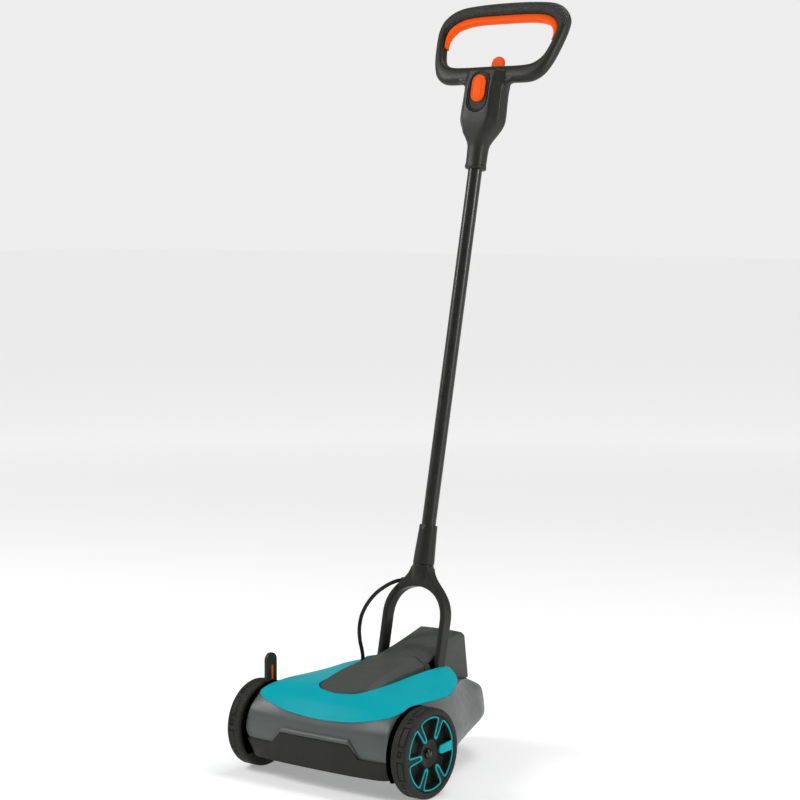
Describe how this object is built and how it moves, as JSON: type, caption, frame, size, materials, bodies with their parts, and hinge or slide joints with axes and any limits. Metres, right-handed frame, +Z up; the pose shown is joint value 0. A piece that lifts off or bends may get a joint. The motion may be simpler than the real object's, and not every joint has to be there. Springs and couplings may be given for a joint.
{
  "type": "cordless rotary lawn mower",
  "caption": "Small battery lawn mower: two front wheels, rear rollers, rotary blade under a deck, moulded cover and hood, and a leaning stick handle with a looped grip.",
  "frame": {"origin": "on the ground, under the middle of the whole mower's box at rest", "axes": "+Z up, the front of the mower faces -Y, +X is across, on the side away from the cutting-height lever"},
  "size_m": [0.331, 0.5092, 1.1575],
  "materials": {
    "cover_blue": "satin moulded plastic",
    "trim_blue": "satin moulded plastic",
    "body_grey": "fine moulded texture",
    "skirt_dark": "fine moulded texture",
    "black_plastic": "satin",
    "tube_black": "satin powder coat",
    "grip_rubber": "fine pimpled",
    "tyre_black": "matte",
    "orange": "satin",
    "steel": "zinc plated",
    "motor_can": "satin",
    "battery_case": "fine moulded texture",
    "board_green": "lacquered",
    "contacts": "polished"
  },
  "bodies": {
    "deck": {"deck_shell": "body_grey", "front_skirt": "skirt_dark", "top_cover": "cover_blue", "centre_hood": "body_grey", "wheel_arch_right": "black_plastic", "wheel_arch_left": "black_plastic", "crank_bush_right": "black_plastic", "crank_bush_left": "black_plastic", "rear_axle": "steel", "motor": "motor_can", "motor_mount": "steel", "motor_screw_1": "steel", "motor_screw_2": "steel", "motor_screw_3": "steel", "motor_screw_4": "steel", "controller_board": "board_green", "battery_tray": "black_plastic", "battery_pack": "battery_case", "battery_terminals": "contacts", "lid_pin": "steel", "yoke_pin_right": "steel", "yoke_pin_left": "steel", "deck_cable_gland": "black_plastic", "cable": "grip_rubber"},
    "lid": {"battery_lid": "body_grey"},
    "battery_button": {"battery_release": "orange"},
    "crank": {"height_crank": "steel", "height_lever": "black_plastic", "lever_marker": "orange"},
    "front_wheel_right": {"tyre_right": "tyre_black", "wheel_right": "skirt_dark", "wheel_trim_right": "trim_blue", "hub_cap_right": "black_plastic"},
    "front_wheel_left": {"tyre_left": "tyre_black", "wheel_left": "skirt_dark", "wheel_trim_left": "trim_blue", "hub_cap_left": "black_plastic"},
    "roller_right": {"rear_roller_right": "black_plastic"},
    "roller_left": {"rear_roller_left": "black_plastic"},
    "cutter": {"motor_shaft": "steel", "blade_carrier": "black_plastic", "blade": "steel", "blade_bolt": "steel"},
    "handle": {"yoke": "black_plastic", "handle_tube": "tube_black", "handle_front_shell": "black_plastic", "handle_rear_shell": "black_plastic", "soft_grip": "grip_rubber", "button_panel": "skirt_dark", "thumb_lever_pin": "steel", "switch_module": "black_plastic", "yoke_cable_gland": "black_plastic", "button_spring": "steel"},
    "sleeve": {"clamp_sleeve": "black_plastic"},
    "start_bar": {"start_lever": "orange"},
    "front_button": {"lock_button": "orange"},
    "thumb_tab": {"thumb_lever": "orange"}
  },
  "joints": [
    {"name": "height_adjust", "type": "hinge", "parent": "deck", "child": "crank", "pos_m": [0, -0.16575, 0.0895], "axis": [1, 0, 0], "range_deg": [-38, 0]},
    {"name": "wheel_right_spin", "type": "hinge", "parent": "crank", "child": "front_wheel_right", "pos_m": [0, -0.18975, 0.06485], "axis": [1, 0, 0], "continuous": true},
    {"name": "wheel_left_spin", "type": "hinge", "parent": "crank", "child": "front_wheel_left", "pos_m": [0, -0.18975, 0.06485], "axis": [1, 0, 0], "continuous": true},
    {"name": "roller_right_spin", "type": "hinge", "parent": "deck", "child": "roller_right", "pos_m": [0, 0.00025, 0.02], "axis": [1, 0, 0], "continuous": true},
    {"name": "roller_left_spin", "type": "hinge", "parent": "deck", "child": "roller_left", "pos_m": [0, 0.00025, 0.02], "axis": [1, 0, 0], "continuous": true},
    {"name": "blade_spin", "type": "hinge", "parent": "deck", "child": "cutter", "pos_m": [0, -0.13175, 0.045], "axis": [0, 0, 1], "continuous": true},
    {"name": "lid_hinge", "type": "hinge", "parent": "deck", "child": "lid", "pos_m": [0, -0.04225, 0.1596], "axis": [1, 0, 0], "range_deg": [0, 40]},
    {"name": "battery_button_press", "type": "slide", "parent": "deck", "child": "battery_button", "axis": [0, 0, -1], "range_m": [0, 0.002], "stiffness_N_per_m": 500},
    {"name": "handle_tilt", "type": "hinge", "parent": "deck", "child": "handle", "pos_m": [0, -0.02135, 0.1319], "axis": [1, 0, 0], "range_deg": [-40, 12], "deforming": ["cable"]},
    {"name": "sleeve_twist", "type": "hinge", "parent": "handle", "child": "sleeve", "pos_m": [0, 0.02028, 0.31728], "axis": [0, 0.2191, 0.9757], "range_deg": [0, 90]},
    {"name": "start_bar_pull", "type": "slide", "parent": "handle", "child": "start_bar", "axis": [0, 0.4642, 0.8857], "range_m": [0, 0.003], "stiffness_N_per_m": 900},
    {"name": "front_button_press", "type": "slide", "parent": "handle", "child": "front_button", "axis": [0, 0.9757, -0.2191], "range_m": [0, 0.003], "stiffness_N_per_m": 800, "deforming": ["button_spring"]},
    {"name": "thumb_tab_press", "type": "hinge", "parent": "handle", "child": "thumb_tab", "pos_m": [0, 0.20003, 1.021], "axis": [1, 0, 0], "range_deg": [0, 5], "stiffness_Nm_per_rad": 0.6}
  ]
}
